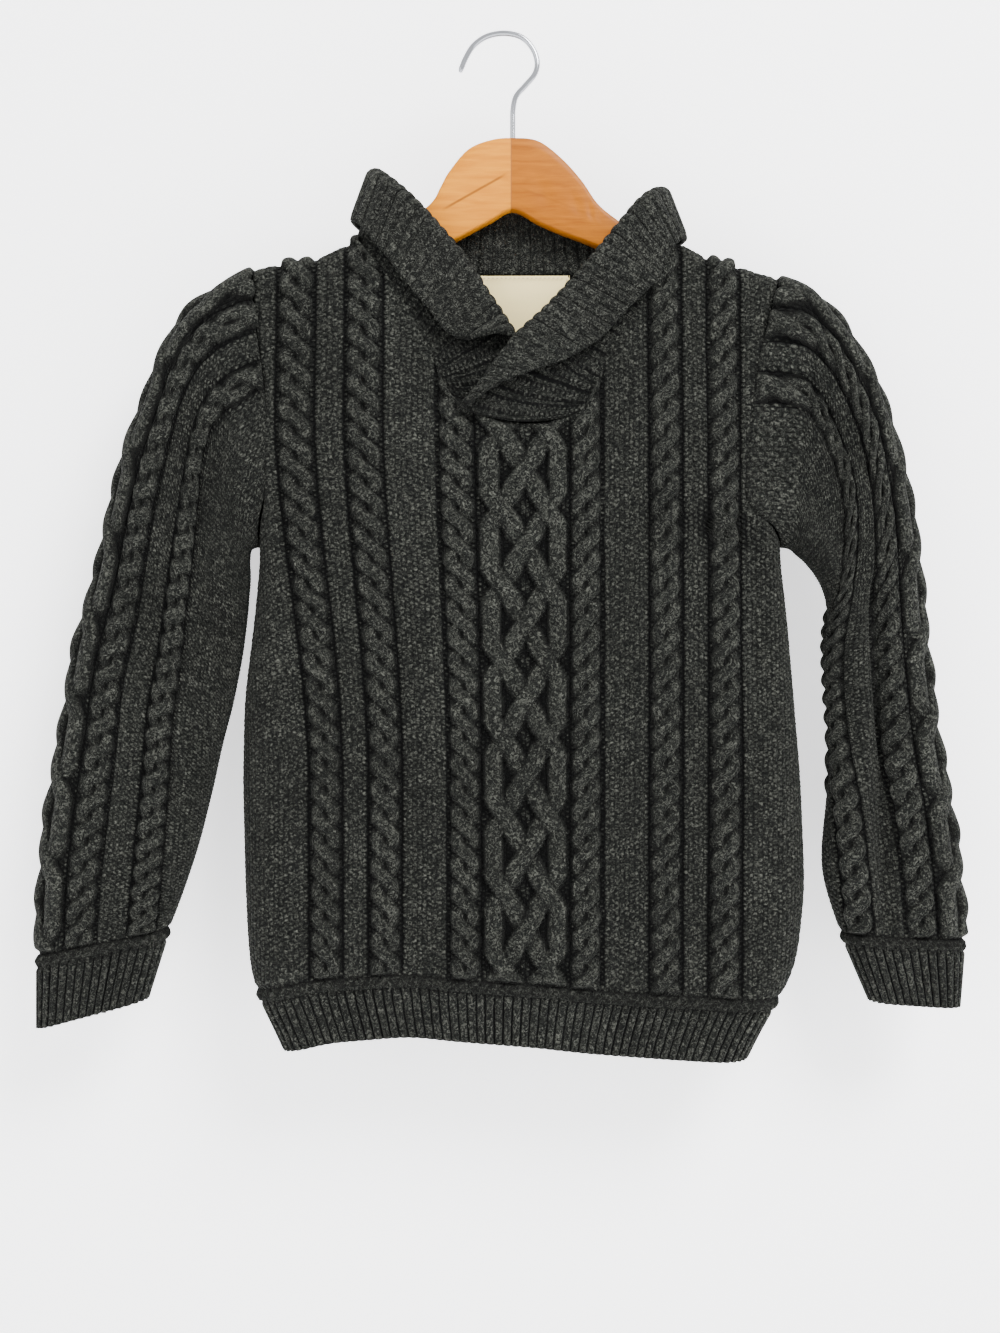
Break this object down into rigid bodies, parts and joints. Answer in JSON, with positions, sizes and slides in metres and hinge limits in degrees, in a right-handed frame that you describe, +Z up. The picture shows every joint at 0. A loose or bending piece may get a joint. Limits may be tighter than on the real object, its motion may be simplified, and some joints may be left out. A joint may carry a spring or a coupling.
{
  "type": "cable knit sweater on a hanger",
  "caption": "Charcoal cable knit pullover with a lapped shawl collar and ribbed welts, hanging flat from a contoured wooden hanger with a wire hook.",
  "frame": {"origin": "the hook's inner top, where the hanger rests on its rail", "axes": "+X towards the wearer's left sleeve (right as seen from the front), +Y to the back, +Z up"},
  "size_m": [0.5598, 0.0618, 0.6164],
  "materials": {
    "wool": "heathered charcoal wool knit",
    "label": "cream woven label, plain",
    "wood": "clear lacquered wood",
    "chrome": "polished wire"
  },
  "bodies": {
    "root": {"front": "wool", "back": "wool", "hem_front": "wool", "hem_back": "wool", "sleeve_left": "wool", "sleeve_right": "wool", "cuff_left": "wool", "cuff_right": "wool", "collar": "wool", "label": "label", "hanger": "wood", "hook": "chrome"}
  },
  "joints": []
}
